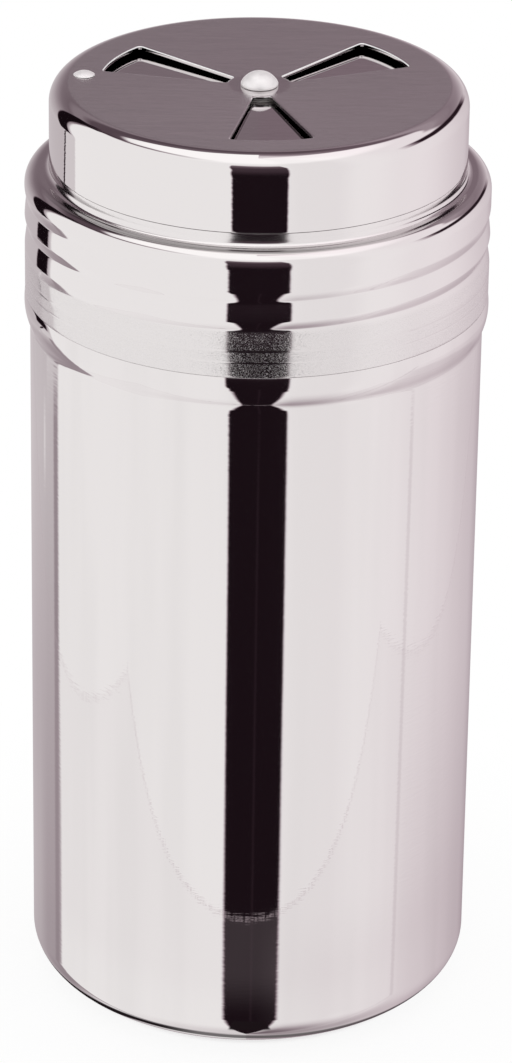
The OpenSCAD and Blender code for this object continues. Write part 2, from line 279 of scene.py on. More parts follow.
def piece(name, grids, body, node, material):
    """Joins grids of points in millimetres, each with whether it is closed, into one closed mesh
    in metres, smooth shaded, with coincident points merged, and gives it to its body, slot and
    node."""
    points, faces, count = [], [], 0
    for grid, closed in grids:
        rows, columns = grid.shape[:2]
        points.append(grid.reshape(-1, 3) * MM)
        faces.append(grid_faces(rows, columns, closed) + count)
        count += rows * columns
    mesh = bpy.data.meshes.new(name)
    mesh.from_pydata(np.concatenate(points), [], np.concatenate(faces))
    work = bmesh.new()
    work.from_mesh(mesh)
    bmesh.ops.remove_doubles(work, verts=work.verts, dist=MERGE * MM)
    bmesh.ops.recalc_face_normals(work, faces=work.faces)
    if work.calc_volume(signed=True) < 0:
        bmesh.ops.reverse_faces(work, faces=work.faces)
    loose = [edge for edge in work.edges if len(edge.link_faces) != 2]
    if loose:
        raise RuntimeError(f"{name} has {len(loose)} edges that don't join two faces")
    work.to_mesh(mesh)
    work.free()
    mesh.shade_smooth()
    made = bpy.data.objects.new(name, mesh)
    bpy.context.scene.collection.objects.link(made)
    mesh.materials.append(material)
    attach(made, body)
    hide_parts(node)


# ---------------------------------------------------------------- shader maths

class Wire:
    """A socket that takes part in sums and products, each of which adds a Math node."""

    def __init__(self, tree, socket):
        self.tree, self.socket = tree, socket

    def __add__(self, other):
        return self.tree.math("ADD", self, other)

    def __sub__(self, other):
        return self.tree.math("SUBTRACT", self, other)

    def __rsub__(self, other):
        return self.tree.math("SUBTRACT", other, self)

    def __mul__(self, other):
        return self.tree.math("MULTIPLY", self, other)

    def __truediv__(self, other):
        return self.tree.math("DIVIDE", self, other)

    def __pow__(self, other):
        return self.tree.math("POWER", self, other)

    def __neg__(self):
        return self.tree.math("MULTIPLY", self, -1.0)

    def __abs__(self):
        return self.tree.math("ABSOLUTE", self)

    __radd__, __rmul__ = __add__, __mul__


class Tree:
    """A node tree being written: every node comes from its node method."""

    def __init__(self, owner):
        owner.use_nodes = True
        self.nodes, self.links = owner.node_tree.nodes, owner.node_tree.links
        self.nodes.clear()

    def node(self, kind, settings=None, values=None, out=0):
        """Adds a node, gives it its settings, then its values or links, and returns one output."""
        made = self.nodes.new(kind)
        for key, value in (settings or {}).items():
            if key == "stops":
                ramp = made.color_ramp
                while len(ramp.elements) > 1:
                    ramp.elements.remove(ramp.elements[-1])
                for n, (place, shade) in enumerate(value):
                    stop = ramp.elements[0] if n == 0 else ramp.elements.new(place)
                    stop.position = place
                    stop.color = (shade, shade, shade, 1.0)
            else:
                setattr(made, key, value)
        for key, value in (values or {}).items():
            socket = made.inputs[key]
            if isinstance(value, Wire):
                self.links.new(value.socket, socket)
            elif np.isscalar(value) or len(value) == len(socket.default_value):
                socket.default_value = value
            else:
                socket.default_value = (*value, 1.0)
        return Wire(self, made.outputs[out]) if made.outputs else made

    def math(self, operation, *values):
        """One operation on numbers."""
        return self.node("ShaderNodeMath", {"operation": operation}, dict(enumerate(values)))

    def rise(self, value, low, high):
        """0 below low, 1 above high, and a smooth step between."""
        return self.node("ShaderNodeMapRange", {"interpolation_type": "SMOOTHSTEP"},
                         {"Value": value, "From Min": low, "From Max": high})

    def fall(self, value, low, high):
        """1 below low, 0 above high, and a smooth step between."""
        return 1 - self.rise(value, low, high)

    def share(self, value, low, high):
        """0 at low, 1 at high, and a straight line between."""
        return self.node("ShaderNodeMapRange", {}, {"Value": value, "From Min": low, "From Max": high})

    def band(self, value, low, high, soft):
        """1 between low and high, with soft edges."""
        return self.rise(value, low - soft, low + soft) * self.fall(value, high - soft, high + soft)

    def noise(self, place, scale, detail=2.0, rough=0.5):
        """Smooth noise from 0 to 1."""
        return self.node("ShaderNodeTexNoise", {}, {"Vector": place, "Scale": scale, "Detail": detail,
                                                    "Roughness": rough})

    def stretch(self, place, scale, turn=0.0):
        """The place scaled along each axis, after a turn about Z, for a pattern that runs one way."""
        return self.node("ShaderNodeMapping", {}, {"Vector": place, "Scale": scale,
                                                   "Rotation": (0, 0, turn)})

    def mix(self, share, low, high):
        """Colour between low and high."""
        return self.node("ShaderNodeMix", {"data_type": "RGBA"}, {0: share, 6: low, 7: high}, out=2)

    def parts(self, place):
        """The three parts of a place or direction."""
        split = self.node("ShaderNodeSeparateXYZ", {}, {"Vector": place})
        outputs = split.socket.node.outputs
        return [Wire(self, outputs[n]) for n in range(3)]


def steel(name, tint, rough, detail, metallic=1.0):
    """Polished steel. The detail function takes the tree and the place on the piece, and returns
    the brightness from 0 to 1, what is added to the roughness, the relief in metres, and, where
    a painted highlight makes the steel near white and less metallic, the share of that highlight."""
    material = bpy.data.materials.new(name)
    tree = Tree(material)
    place = tree.node("ShaderNodeTexCoord", out=3)
    shade, extra, relief, *painted_highlights = detail(tree, place)
    colour = tree.mix(shade, (0.0, 0.0, 0.0), tint)
    # Painted highlight: near-white colour and less metal where the detail asks for it.
    for pale in painted_highlights:
        colour = tree.mix(pale, colour, (1.0, 0.985, 0.99))
        metallic = metallic - 0.85 * pale
    bump = tree.node("ShaderNodeBump", {}, {"Height": relief, "Distance": 1.0, "Strength": 1.0})
    shader = tree.node("ShaderNodeBsdfPrincipled", {}, {"Base Color": colour, "Metallic": metallic,
                                                        "Roughness": rough + extra, "Normal": bump})
    tree.node("ShaderNodeOutputMaterial", {}, {"Surface": shader})
    return material


def soft_goods(name, tint, rough, scale):
    """Matte moulded nylon or silicone: a faint mottle and a fine grain."""
    material = bpy.data.materials.new(name)
    tree = Tree(material)
    place = tree.node("ShaderNodeTexCoord", out=3)
    mottle = tree.noise(place, scale, 3.0)
    colour = tree.mix(mottle, tuple(0.9 * c for c in tint), tint)
    bump = tree.node("ShaderNodeBump", {}, {"Height": tree.noise(place, 9 * scale) * 2e-5,
                                            "Distance": 1.0, "Strength": 1.0})
    shader = tree.node("ShaderNodeBsdfPrincipled", {}, {"Base Color": colour, "Normal": bump,
                                                        "Roughness": rough + 0.1 * mottle})
    tree.node("ShaderNodeOutputMaterial", {}, {"Surface": shader})
    return material


# ---------------------------------------------------------------- settings

def length(name, description, default):
    """A property that holds a length in metres."""
    return FloatProperty(name=name, description=description, default=default, min=0.0, unit="LENGTH",
                         precision=5)


class ShakerSizes(bpy.types.PropertyGroup):
    """Sizes of the sheets, corners and threads. The wall's come from the frame."""

    wall_radius: length("Wall radius", "Outside radius of the canister's wall", CAN_HIGH.x - 0.8 * MM)
    wall_height: length("Wall height", "Height of the wall up to the groove", CAN_HIGH.z - 20.9 * MM)
    canister_sheet: length("Canister sheet", "Thickness of the canister's sheet", 0.6 * MM)
    base_corner: length("Base corner", "Width of the oval corner round the base", 8.5 * MM)
    base_rise: length("Base rise", "Height of the oval corner round the base", 6.5 * MM)
    lid_sheet: length("Lid sheet", "Thickness of the lid's sheet", 0.6 * MM)
    lid_groove: length("Thread depth", "Depth of the thread rolled into the lid", 0.5 * MM)
    pitch: length("Pitch", "Rise of the thread in one turn", 4.2 * MM)
    dial_sheet: length("Dial sheet", "Thickness of the dial's sheet", 0.5 * MM)
    dial_corner: length("Dial corner", "Radius of the corner round the dial", 2.85 * MM)
    dial_dip: length("Dial dip", "How far the rivet draws the dial's middle down", 0.4 * MM)
    edge_roll: length("Edge roll", "Width of the rolled-over edge of the openings", 0.26 * MM)


class ShakerFinish(bpy.types.PropertyGroup):
    """Colours and polish."""

    steel_tint: FloatVectorProperty(name="Steel colour", description="Colour of the polished steel",
                                    subtype="COLOR", size=3, min=0, max=1, default=(0.80, 0.77, 0.775))
    nylon_tint: FloatVectorProperty(name="Nylon colour", description="Colour of the spacer",
                                    subtype="COLOR", size=3, min=0, max=1, default=(0.86, 0.85, 0.82))
    gasket_tint: FloatVectorProperty(name="Gasket colour", description="Colour of the gasket",
                                     subtype="COLOR", size=3, min=0, max=1, default=(0.85, 0.83, 0.78))
    polish: FloatProperty(name="Wall roughness", description="Roughness of the polished walls",
                          default=0.025, min=0, max=1, subtype="FACTOR")
    brushed: FloatProperty(name="Top roughness", description="Roughness of the dial's brushed top",
                           default=0.21, min=0, max=1, subtype="FACTOR")


class ShakerStage(bpy.types.PropertyGroup):
    """Camera, floor and studio."""

    distance: length("Camera distance", "Distance of the camera in front of the axis", 0.672772)
    height: length("Camera height", "Height of the camera above the floor", 0.388199)
    pitch: FloatProperty(name="Camera pitch", description="How far the camera looks down",
                         default=0.44128, subtype="ANGLE")
    roll: FloatProperty(name="Camera roll", description="Turn of the camera about its line of sight",
                        default=0.01456, subtype="ANGLE")
    yaw: FloatProperty(name="Camera yaw", description="How far the camera looks to the right",
                       default=0.00062, subtype="ANGLE")
    focal: FloatProperty(name="Focal length", description="Focal length in millimetres for a 36 mm "
                         "sensor", default=171.69, min=1)
    room: FloatProperty(name="Room light", description="Strength of the light from all sides",
                        default=1.0, min=0)


def sizes():
    return bpy.context.scene.shaker_sizes


def finish():
    return bpy.context.scene.shaker_finish


def tint(share=1.0):
    """The steel's colour, brighter or darker by a share."""
    return tuple(share * c for c in finish().steel_tint)


# ---------------------------------------------------------------- finishes

def drawn_lines(tree, place):
    """Relief of the fine lines that run round a drawn wall, in metres."""
    return tree.noise(tree.stretch(place, (400, 400, 2600)), 1.0, 1.0) * 3.5e-6


def upright_streaks(tree, place):
    """Faint streaks that run up a polished wall, from 0 to 1."""
    return tree.noise(tree.stretch(place, (170, 170, 9)), 1.0, 2.0)


def brushing(tree, place):
    """Straight brushing along X, from 0 to 1: fine lines over broader ones."""
    fine = tree.noise(tree.stretch(place, (900, 5200, 900)), 1.0, 2.0, 0.6)
    broad = tree.noise(tree.stretch(place, (160, 1900, 160)), 1.0, 3.0, 0.6)
    return tree.rise(0.5 * fine + 0.5 * broad, 0.35, 0.65)


def wall_detail(tree, place):
    """Drawn wall: fine lines round it, shallow waves, faint upright streaks and a few hair
    scratches."""
    streaks = upright_streaks(tree, place)
    waves = tree.noise(place, 34.0, 1.0)
    scratch = tree.rise(tree.noise(tree.stretch(place, (900, 900, 22), 0.6), 1.0, 1.0), 0.74, 0.80)
    relief = drawn_lines(tree, place) + waves * 1e-5 - scratch * 1e-6
    return 1 - 0.04 * tree.fall(streaks, 0.3, 0.6), 0.02 * streaks + 0.03 * scratch, relief


def lid_detail(tree, place):
    """Lid: polished, with a grainy band and two burnished rings round the lower skirt, a satin
    ledge, painted shade on the flat of the shoulder at the front, and a brushed plate."""
    x, y, z = tree.parts(place)
    reach = (x * x + y * y) ** 0.5
    streaks = upright_streaks(tree, place)
    skirt = tree.fall(z, 0.1156, 0.1164) * tree.rise(reach, 0.0320, 0.0324)
    lower = tree.fall(z, 0.1131, 0.1134)
    rings = tree.band(z, 0.11318, 0.11348, 0.0001) + tree.band(z, 0.1115, 0.1117, 0.00006)
    grain = tree.noise(place, 10000.0, 1.0)
    pits = tree.rise(grain + 0.03 * lower, 0.50, 0.74) * (1 - rings) * skirt
    plate = tree.rise(z, 0.13895, 0.1391) * tree.fall(reach, 0.0262, 0.0268)
    ledge = tree.band(z, 0.1273, 0.1293, 0.0002) * tree.fall(reach, 0.0300, 0.0304)
    # Painted shade: a dark ring on the flat of the shoulder, only at the front and lighter to the
    # right.
    painted_shelf_shade = (tree.band(z, 0.1272, 0.1279, 0.00008) * tree.band(reach, 0.0303, 0.0319, 0.0001)
             * tree.fall(y, -0.018, -0.008))
    brush = brushing(tree, place)
    relief = drawn_lines(tree, place) * (1 - plate) + (grain * 8e-7 - rings * 8e-6) * skirt
    rough = 0.02 * streaks + 0.04 * skirt + 0.36 * pits + 0.08 * ledge
    dull = 0.08 * plate * brush + 0.05 * skirt + 0.02 * pits
    painted_shelf_shade = painted_shelf_shade * (0.52 - 0.3 * tree.rise(x, 0.0, 0.02))
    return 1 - dull - painted_shelf_shade, rough, relief


def dial_detail(tree, place):
    """Dial: straight brushing on the flat top, rubbed smooth round the rivet, polished corner and
    wall, a painted highlight on the rolled edges of the back openings, and painted shade on the
    cut wall of the front one, which is also rougher."""
    x, y, z = tree.parts(place)
    reach = (x * x + y * y) ** 0.5
    high, dip, flat = DIAL_HIGH.z, sizes().dial_dip, DIAL_HIGH.x - sizes().dial_corner
    face = z - high + dip * (1 - tree.share(reach, 0.004, flat))
    top = tree.rise(face, -0.03 * MM, -0.01 * MM) * tree.fall(reach, flat, flat + 0.5 * MM)
    brush = brushing(tree, place)
    cloud = tree.noise(tree.stretch(place, (60, 130, 60)), 1.0, 2.0)
    relief = brush * 3.5e-6 * top + drawn_lines(tree, place) * (1 - top)
    rubbed = 1 - 0.6 * tree.fall(reach, 0.0040, 0.0046)
    rough = top * (finish().brushed - finish().polish + 0.06 * cloud) * rubbed
    inside = tree.fall(reach, flat - 1 * MM, flat)
    front = tree.fall(y, -0.004, 0.0)
    # Painted highlight: the rolled top of the cut edge round the back openings is made near white.
    rolled = tree.band(face, -0.15 * MM, -0.02 * MM, 0.01 * MM) * inside * (1 - front)
    # Painted shade: the lower cut wall of the front opening is darkened, and made rougher.
    painted_cut_shade = tree.band(face, -0.48 * MM, -0.18 * MM, 0.02 * MM) * inside * front
    shade = 1 - top * (0.1 * brush + 0.06 * cloud) - 0.85 * painted_cut_shade
    return shade, rough + 0.2 * painted_cut_shade, relief, rolled


def bright_detail(tree, place):
    """Small turned steel, tumbled to a soft shine: fine grain and a slight cloud."""
    cloud = tree.noise(place, 900.0, 3.0)
    return 1 - 0.06 * tree.fall(cloud, 0.3, 0.6), 0.1 * cloud, cloud * 1.5e-6


def satin_detail(tree, place):
    """Satin spring steel and washers."""
    cloud = tree.noise(place, 1400.0, 3.0)
    return 0.8 + 0.2 * cloud, 0.2 * cloud, cloud * 8e-6


# ---------------------------------------------------------------- pieces

class SHAKER_OT_canister(bpy.types.Operator):
    """Drawn canister with its groove, stop bead, threaded neck and curled rim"""

    bl_idname = "shaker.canister"
    bl_label = "Canister"

    def execute(self, context):
        s = sizes()
        r, h, t = (v / MM for v in (s.wall_radius, s.wall_height, s.canister_sheet))
        corner, rise = s.base_corner / MM, s.base_rise / MM
        bead, top, rim = r + 0.8, h + 4.98, CAN_HIGH.z / MM
        neck, curl = r - 1.4, 0.65
        curl_z = rim - curl
        foot, ring, knee = r - corner, r - 10.9, 1.6
        dish, lift, dish_bend = ring - 4.0, 1.2, 1.0
        lean, crown = 24.0, 9.0
        flare = bend((r, h - 0.4), 90, 2.7, -lean, 6)
        full = (bead - flare[-1][0]) / (1 - math.cos(math.radians(lean)))
        flare = np.concatenate([flare, bend(flare[-1], 90 - lean, full, lean, 10)[1:]])
        slow = (top - 0.1 - flare[-1][1]) / math.sin(math.radians(crown))
        flare = np.concatenate([flare, bend(flare[-1], 90, slow, crown, 6)[1:]])
        inside = flare[flare[:, 1] < top - t - 0.05][::-1] - (t, 0)
        # Out along the base, up the wall, over the bead, up the neck, round the curl and back inside
        profile = chain([
            [(0, lift), (dish - 0.2, lift)],
            arc(dish, lift - dish_bend, dish_bend, 90, 68, 3),
            arc(ring, knee, knee, 248, 270, 4),
            oval(foot, rise, corner, rise, 270, 360, 24),
            flare,
            bend(flare[-1], 90 + crown, 0.1, 90 - crown, 4),
            arc(neck + 0.3, top + 0.3, 0.3, 270, 180, 4),
            dense(neck, top + 0.4, curl_z - curl - 0.1, 0.2),
            arc(neck, curl_z, curl, -75, 180, 16),
            dense(neck - t, curl_z - 0.4, top - t, 0.2),
            inside,
            oval(foot, rise, corner - t, rise - t, 360, 270, 20),
            arc(ring, knee, knee - t, 270, 248, 3),
            arc(dish, lift - dish_bend, dish_bend + t, 68, 90, 3),
            [(0, lift + t)],
        ])

        def thread(radius, z, bearing):
            """Both faces of the neck bulge by the thread's section along its line."""
            on_neck = (z > top + 0.3) & (z < curl_z - curl) & (np.abs(radius - neck + t / 2) < 0.6 * t)
            return 1.25 * on_neck * rolled_thread(z, bearing, 118.7, s.pitch / MM, -580, 284, hump)

        material = steel("canister_steel", tint(), finish().polish, wall_detail)
        piece("canister_shell", [(revolve(profile, change=thread), True)], "canister",
              "canister", material)
        return {"FINISHED"}


class SHAKER_OT_lid(bpy.types.Operator):
    """Screw lid with its rolled thread, ledge, neck and pierced plate"""

    bl_idname = "shaker.lid"
    bl_label = "Screw lid"

    def execute(self, context):
        s = sizes()
        t, roll = s.lid_sheet / MM, s.edge_roll / MM
        out, low, plate = LID_HIGH.x / MM, LID_LOW.z / MM, LID_HIGH.z / MM
        shoulder, ledge, ledge_r, neck = low + 18.1, low + 19.92, out - 3.6, out - 4.25
        lane_r, corner, bulge, fillet = 26.5, 2.2, 2.1, 0.9
        skirt_in = out - t
        # From the plate's underside down inside to the skirt's edge, and back up outside
        profile = chain([
            [(lane_r, plate - t)],
            arc(neck - corner, plate - corner, corner - t, 90, 0, 8),
            arc(neck - t + 0.3, ledge - t + 0.3, 0.3, 180, 270, 4),
            arc(ledge_r - t - 0.2, ledge - t - 0.2, 0.2, 90, 0, 4),
            arc(ledge_r + fillet, shoulder + fillet, fillet + t, 180, 270, 8),
            arc(out - bulge, shoulder - bulge, bulge - t, 90, 0, 10),
            dense(skirt_in, shoulder - 2.2, low + 0.3, 0.3),
            edge_round(out, skirt_in, low, 0.05, 3),
            dense(out, low + 0.3, shoulder - 2.2, 0.11),
            arc(out - bulge, shoulder - bulge, bulge, 0, 90, 14),
            arc(ledge_r + fillet, shoulder + fillet, fillet, 270, 180, 10),
            arc(ledge_r - 0.06, ledge - 0.06, 0.06, 0, 90, 4),
            arc(neck + 0.15, ledge + 0.15, 0.15, 270, 180, 4),
            arc(neck - corner, plate - corner, corner, 0, 90, 14),
            [(lane_r, plate)],
        ])

        def thread(radius, z, bearing):
            """Both faces of the skirt sink by the groove's section along its line."""
            on_skirt = (radius > skirt_in - 0.05) & (z < shoulder - 1.5)
            groove = rolled_thread(z, bearing, 120.4, s.pitch / MM, -430, 345, valley, 0.45)
            return -s.lid_groove / MM * on_skirt * groove

        def flat(radius):
            """The plate is level."""
            return np.full_like(radius, plate)

        grids = [(revolve(profile, change=thread), True)]
        fan_lane, half = 23.3, 0.9
        slot_angle = OPEN_TURN / 2 + math.degrees(math.asin(half / STUD_RADIUS))
        slot = (STUD_RADIUS - half, STUD_RADIUS + half, slot_angle, half - 0.001)
        for n in range(SPANS):
            bearing = FIRST_BEARING + OPEN_TURN + n * 360 / SPANS
            span = (bearing - 180 / SPANS, bearing + 180 / SPANS)
            lane, ring = (SHANK_HOLE, fan_lane, *span), (fan_lane, lane_r, *span)
            grids.append((pierced(FAN, bearing, lane, flat, t, FAN_COLUMNS, roll), True))
            if n == SPANS - 1:
                at = STUD_BEARING + OPEN_TURN / 2
                grids.append((pierced(slot, at, ring, flat, t, (80, 8, 80), roll, 5), True))
            else:
                grids += [(sheet, False) for sheet in lane_sheet(ring, flat, t, 80)]
        hole = chain([[(SHANK_HOLE, plate), (SHANK_HOLE, plate - t)]])
        grids.append((revolve(hole, 48, FIRST_BEARING), True))
        material = steel("lid_steel", tint(), finish().polish, lid_detail)
        piece("screw_lid_shell", grids, "lid", "screw_lid", material)
        return {"FINISHED"}


class SHAKER_OT_dial(bpy.types.Operator):
    """Dial: a shallow cap with three fan-shaped openings"""

    bl_idname = "shaker.dial"
    bl_label = "Dial"

    def execute(self, context):
        s = sizes()
        t, corner, dip, roll = (v / MM for v in (s.dial_sheet, s.dial_corner, s.dial_dip, s.edge_roll))
        out, low, top = DIAL_HIGH.x / MM, DIAL_LOW.z / MM, DIAL_HIGH.z / MM
        flat_r, seat = out - corner, 4.0
        # From the top's underside down inside to the wall's edge, and back up outside
        profile = chain([
            [(flat_r, top - t)],
            arc(flat_r, top - corner, corner - t, 90, 0, 14),
            edge_round(out, out - t, low, 0.06, 4),
            arc(flat_r, top - corner, corner, 0, 90, 28),
        ])

        def cap(radius):
            """The top falls evenly by the dip, from the edge of the flat to the rivet's seat."""
            return top - dip * (1 - np.clip((radius - seat) / (flat_r - seat), 0, 1))

        grids = [(revolve(profile), True)]
        fan_lane = 23.6
        for n in range(SPANS):
            bearing = FIRST_BEARING + n * 360 / SPANS
            span = (bearing - 180 / SPANS, bearing + 180 / SPANS)
            lane, ring = (SHANK_HOLE, fan_lane, *span), (fan_lane, flat_r, *span)
            grids.append((pierced(FAN, bearing, lane, cap, t, FAN_COLUMNS, roll), True))
            grids += [(sheet, False) for sheet in lane_sheet(ring, cap, t, 80)]
        level = float(cap(np.array(SHANK_HOLE)))
        hole = chain([[(SHANK_HOLE, level), (SHANK_HOLE, level - t)]])
        grids.append((revolve(hole, 48, FIRST_BEARING - 180 / SPANS), True))
        material = steel("dial_steel", tint(), finish().polish, dial_detail)
        piece("dial_shell", grids, "dial", "dial_cap", material)
        return {"FINISHED"}


class SHAKER_OT_fixings(bpy.types.Operator):
    """Pivot rivet and thumb stud"""

    bl_idname = "shaker.fixings"
    bl_label = "Rivet and stud"

    def execute(self, context):
        low, high = RIVET_LOW.z / MM, RIVET_HIGH.z / MM
        half, edge, dome = RIVET_HIGH.x / MM, 0.35, 1.65
        rim = high - dome
        ball, slope = ball_of(half, dome)
        profile = chain([
            [(0, low), (2.0, low)], [(2.4, low + 0.8)],
            arc(2.4, low + 0.8, 0.1, 0, 90, 3), [(1.6, low + 0.9)],
            arc(1.6, low + 1.0, 0.1, 270, 180, 3),
            [(1.5, rim - edge)],
            arc(half - 0.1, rim - edge + 0.1, 0.1, 270, 360, 3),
            arc(half - 0.12, rim - 0.05, 0.12, 0, 90 - slope, 3)[:-1],
            arc(0, high - ball, ball, 90 - slope + 3, 90, 22)[:-1], [(0, high)],
        ])
        bright = steel("rivet_steel", tint(1.2), 0.38, bright_detail, 0.35)
        piece("pivot_rivet_turned", [(revolve(profile, 96), True)], "lid",
              "pivot_rivet", bright)
        low, high = STUD_LOW.z / MM, STUD_HIGH.z / MM
        half, dome = 1.55, 0.55
        base = high - dome
        ball, slope = ball_of(half, dome)
        profile = chain([
            [(0, low), (0.6, low)], arc(0.6, low + 0.1, 0.1, 270, 360, 3), [(0.7, base)],
            [(half - 0.05, base)],
            arc(0, high - ball, ball, 90 - slope, 90, 14)[:-1], [(0, high)],
        ])
        grid = revolve(profile, 64)
        turn = math.radians(STUD_BEARING)
        grid[..., 0] += STUD_RADIUS * math.cos(turn)
        grid[..., 1] += STUD_RADIUS * math.sin(turn)
        piece("thumb_stud_turned", [(grid, True)], "dial", "thumb_stud", bright)
        return {"FINISHED"}


class SHAKER_OT_inner_parts(bpy.types.Operator):
    """Finishes of the gasket, the spacer and the washers, whose shapes come from the frame"""

    bl_idname = "shaker.inner_parts"
    bl_label = "Inner parts"

    def execute(self, context):
        satin = steel("satin_steel", tint(0.8), 0.25, satin_detail)
        nylon = soft_goods("nylon", tuple(finish().nylon_tint), 0.5, 700.0)
        rubber = soft_goods("silicone", tuple(finish().gasket_tint), 0.55, 400.0)
        finishes = {"lid_gasket": rubber, "spacer_washer": nylon, "spring_washer": satin,
                    "backing_washer": satin}
        for node, material in finishes.items():
            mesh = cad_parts[node].data
            mesh.materials.clear()
            mesh.materials.append(material)
        return {"FINISHED"}


# ---------------------------------------------------------------- stage

# Brightness of the grey wall, at shares of the way from 40 degrees below the horizon to the zenith.
WALL_LOW, WALL_HIGH = -40, 90
WALL_STOPS = [(0.0, 0.36), (0.077, 0.45), (0.10, 0.545), (0.123, 0.66), (0.146, 0.61), (0.19, 0.64),
              (0.31, 0.50), (0.45, 0.235), (0.50, 0.19), (0.53, 0.27), (0.565, 0.27), (0.60, 0.11),
              (0.66, 0.10), (0.71, 0.13), (0.80, 0.25), (0.90, 0.8)]


def camera_slot(tree, az, el):
    """Mask and glow of the dark slot in front, which the camera looks through. A thin line runs up
    its lower part, and it grows paler towards its top."""
    lowest = tree.fall(el, -34, -29)
    left = az + 14.2 + 2.5 * tree.rise(el, 15, 38) - 1.4 * tree.fall(el, -25.5, -20.5) - 1.2 * lowest
    right = az - 16.4 + 3.0 * tree.rise(el, 30, 44) + 1.4 * lowest
    soft = 0.8 + 0.8 * tree.fall(el, -33, -27)
    mask = tree.rise(left / soft, -1, 1) * tree.fall(right / soft, -1, 1) * tree.fall(el, 38, 47)
    line = tree.band(az, 1.8, 2.6, 0.8) * tree.fall(el, -25, -23)
    glow = 0.012 + 0.045 * tree.rise(el, -14, 24) + 0.12 * tree.rise(el, 24, 44) + 0.012 * line
    return mask, glow


def grey_wall(tree, x, az, el, gap):
    """Brightness of the grey wall behind the shaker, and the mask of its left part and of its right
    part, which ends at the gap."""
    level = el - 6 * tree.rise(x, -0.1, 0.2) * tree.rise(el, 24, 34)
    fac = tree.share(level, WALL_LOW, WALL_HIGH)
    wall = tree.node("ShaderNodeValToRGB", {"stops": WALL_STOPS}, {"Fac": fac})
    wall = wall * (1 + 0.18 * tree.fall(az, -150, -135) * tree.fall(el, -29.5, -26.5))
    wall = wall * (0.98 + 0.07 * tree.rise(x, -0.03, 0.05) + 0.35 * tree.rise(x, 0.06, 0.16))
    edge = -120.5 + 10 * tree.rise(el, 35, 50) + 1.5 * tree.fall(el, -29, -26)
    top = 51 + 14 * tree.fall(az, -160, -135)
    left = tree.fall(az - edge, -1.5, 1.5) * tree.rise(el, -60, -42) * tree.fall(el - top, -2, 2)
    right = (tree.rise(az - 18 * tree.rise(el, 37, 43), 122, 134)
             * tree.rise(el - tree.math("MAXIMUM", gap, -6.0), -2, 2))
    return wall, tree.math("MAXIMUM", left, right)


def white_panels(tree, az, el):
    """Brightness of the white panels: brighter overhead, and a little darker on the right."""
    not_below = tree.rise(el, -62, -44)
    return (1 + 0.2 * tree.rise(el, 48, 62) - 0.06 * tree.band(az, 16, 50, 8)
            - 0.03 * tree.rise(az, 65, 85)
            - 0.27 * tree.rise(az, 95, 165) * tree.fall(el, 8, 20) * not_below
            - 0.16 * tree.rise(az, 150, 172) * tree.fall(el, -10, 8) * not_below
            - 0.05 * tree.rise(az, 85, 102) * tree.fall(el, -24, -22.5)
            - 0.10 * tree.rise(az, 80, 90) * tree.fall(el, -30, -26)
            - 0.12 * tree.band(az - 0.5 * el, 98.4, 100.6, 0.5) * tree.fall(el, -24.2, -23.2))


def ground_light(tree, az, el):
    """Share of the light that is left low down, where the floor takes some of it away, mostly to
    the right of the front."""
    right = 0.58 * tree.rise(az, 8, 30) * (1 - 0.45 * tree.rise(az, 50, 90)) * tree.fall(az, 120, 175)
    return 1 - 0.2 * tree.fall(el, -84, -52) - right * tree.fall(el, -80, -38)


def studio_marks(tree, az, el, gap):
    """Masks and brightness of the single things between the panels, laid over each other in turn:
    a dark column on the left with a pale band, a hairline, a streak and a grey rim at its foot,
    the gap under the grey wall on the right, and the seam overhead on the left."""
    column = (tree.band(az - 5 * tree.rise(el, 30, 38), -137, -123.3, 1.0)
              * tree.rise(el, -19.8, -18.6) * tree.fall(el, 38, 43))
    band = tree.band(az, -133.5, -120.5, 1.0) * tree.band(el, -23.5, -19.6, 0.5)
    hairline = tree.band(az - 2.4 * el, -83.2, -81.3, 0.3) * tree.band(el, -21.6, -19.4, 0.1)
    streak = tree.band(az, -138.2, -135.8, 0.8) * tree.band(el, -24.6, -23.9, 0.3) * 0.6
    rim = tree.band(az, -125.5, -121.2, 1.2) * tree.fall(el, -24.0, -23.4)
    dark = tree.fall(abs(el - gap), 3.5, 8) * tree.rise(az, 84, 104) * tree.fall(az, 148, 158)
    d = tree.math("MINIMUM", (az + 60) / 50, 0.0)
    seam = (tree.fall(abs(el - (58 - 11 * d ** 2)), 1.5, 5) * tree.fall(az, -110, -20)
            * tree.rise(az, -135, -120) * 0.9)
    return ((column, 0.008), (band, 0.74), (hairline, 0.02), (streak, 0.9), (rim, 0.36), (dark, 0.02),
            (seam, 0.06))


def studio(tree, direction):
    """Brightness of the studio in a direction, and how far that direction lies on the rosy right
    side. White panels stand all round, with a slot in front and a grey wall behind. The gap under
    the wall's right part bows: its height is 25 - 6 s^2 - 2 s^6 degrees, where s is 0 at the right
    and 1 at 50 degrees to either side of it."""
    x, y, z = tree.parts(direction)
    az = tree.math("ARCTAN2", x, -y) * (180 / math.pi)
    el = tree.math("ARCSINE", z) * (180 / math.pi)
    s = (az - 90) / 50
    gap = 25 - 6 * s ** 2 - 2 * s ** 6
    wall, back = grey_wall(tree, x, az, el, gap)
    value = white_panels(tree, az, el) * (1 - back) + wall * back
    value = value * ground_light(tree, az, el)
    for mask, shade in studio_marks(tree, az, el, gap):
        value = value * (1 - mask) + shade * mask
    slot, glow = camera_slot(tree, az, el)
    return value * (1 - slot) + glow * slot, tree.rise(az, 10, 130) * tree.rise(el, -75, -50)


